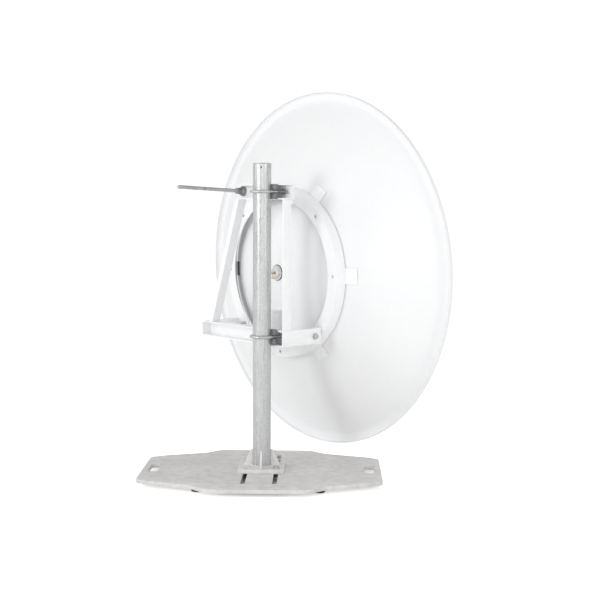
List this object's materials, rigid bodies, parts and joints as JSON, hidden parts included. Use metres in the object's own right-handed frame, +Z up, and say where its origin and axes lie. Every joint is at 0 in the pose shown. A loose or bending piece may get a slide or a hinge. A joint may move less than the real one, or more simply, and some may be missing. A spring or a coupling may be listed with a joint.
{
  "type": "satellite dish",
  "caption": "Round spun satellite dish with a hub-mounted feed, hung beside a round mast by a steel frame with an elevation rod, on a flat cast stand.",
  "frame": {"origin": "on the floor under the middle of the whole object's bounding box; the dish's centre plane is X = 0", "axes": "+Z up, +Y the direction in which the dish looks (before its small tilt), +X to the right when the dish is seen from behind, on the mast's side"},
  "size_m": [1.2, 0.9789, 1.2369],
  "materials": {
    "cast_base": "sand-cast and grey, slightly mottled",
    "foot_rubber": "matt black",
    "galvanised_tube": "hot-dip galvanised, streaked along its length",
    "zinc_fasteners": "zinc plated, dull",
    "dark_saddle": "dark grey, satin",
    "frame_paint": "white powder coat",
    "dish_skin": "spun aluminium under white powder coat",
    "feed_metal": "bare, turned",
    "feed_plastic": "off-white, translucent in real parts",
    "gold_connector": "gold plated"
  },
  "bodies": {
    "stand": {"base_plate": "cast_base", "rubber_foot_1": "foot_rubber", "rubber_foot_2": "foot_rubber", "rubber_foot_3": "foot_rubber", "rubber_foot_4": "foot_rubber"},
    "mast": {"mast_foot": "cast_base", "mast_tube": "galvanised_tube", "mast_cap": "foot_rubber", "foot_bolt_1": "zinc_fasteners", "foot_bolt_2": "zinc_fasteners", "foot_bolt_3": "zinc_fasteners", "foot_nut_1": "zinc_fasteners", "foot_nut_2": "zinc_fasteners", "foot_nut_3": "zinc_fasteners"},
    "mount_frame": {"lower_bracket": "frame_paint", "upper_bracket": "frame_paint", "left_leg": "frame_paint", "right_leg": "frame_paint", "saddle_lower": "dark_saddle", "saddle_upper": "dark_saddle", "u_bolt_lower": "zinc_fasteners", "u_bolt_upper": "zinc_fasteners", "clamp_nut_lower_left_rear": "zinc_fasteners", "clamp_nut_lower_left_front": "zinc_fasteners", "clamp_nut_lower_right_rear": "zinc_fasteners", "clamp_nut_lower_right_front": "zinc_fasteners", "clamp_nut_upper_left_rear": "zinc_fasteners", "clamp_nut_upper_left_front": "zinc_fasteners", "clamp_nut_upper_right_rear": "zinc_fasteners", "clamp_nut_upper_right_front": "zinc_fasteners", "leg_bolt": "zinc_fasteners", "leg_nut": "zinc_fasteners", "pivot_bolt_left": "zinc_fasteners", "pivot_bolt_right": "zinc_fasteners", "pivot_nut_left": "zinc_fasteners", "pivot_nut_right": "zinc_fasteners", "pivot_spacer_left": "zinc_fasteners", "pivot_spacer_right": "zinc_fasteners"},
    "dish": {"reflector": "dish_skin", "mounting_ring": "frame_paint", "pivot_lug_left": "frame_paint", "pivot_lug_right": "frame_paint", "rod_clevis": "frame_paint", "clevis_pin": "zinc_fasteners", "ring_bolt_top": "zinc_fasteners", "ring_bolt_left": "zinc_fasteners", "ring_bolt_right": "zinc_fasteners", "hub_gasket": "foot_rubber", "hub_nut": "feed_metal", "feed_tube": "feed_metal", "feed_cone": "feed_plastic", "sub_reflector": "feed_metal", "feed_connector_rear": "gold_connector", "feed_connector_side": "gold_connector"},
    "elevation_rod": {"elevation_rod": "zinc_fasteners"},
    "rod_nuts": {"taper_washer": "zinc_fasteners", "rod_nut_rear": "zinc_fasteners", "flat_washer": "zinc_fasteners", "rod_nut_front": "zinc_fasteners"}
  },
  "joints": [
    {"name": "mast_slide", "type": "slide", "parent": "stand", "child": "mast", "axis": [-0.7431, 0.6691, 0], "range_m": [-0.12, 0.12]},
    {"name": "azimuth", "type": "hinge", "parent": "mast", "child": "mount_frame", "pos_m": [0.149, -0.118, 0.6], "axis": [0, 0, 1], "continuous": true},
    {"name": "elevation", "type": "hinge", "parent": "mount_frame", "child": "dish", "pos_m": [0, 0.046, 0.44], "axis": [1, 0, 0], "range_deg": [-2, 7.5]},
    {"name": "rod_pivot", "type": "hinge", "parent": "dish", "child": "elevation_rod", "pos_m": [-0.028, 0.0411, 0.8969], "axis": [1, 0, 0], "range_deg": [-7.8, 2.3]},
    {"name": "nut_travel", "type": "slide", "parent": "elevation_rod", "child": "rod_nuts", "axis": [0, 0.9991, -0.0419], "range_m": [-0.017, 0.061]}
  ],
  "couplings": [
    {"joint": "rod_pivot", "follows": "elevation", "ratio": -1},
    {"joint": "nut_travel", "follows": "elevation", "m_per_rad": 0.4557}
  ]
}
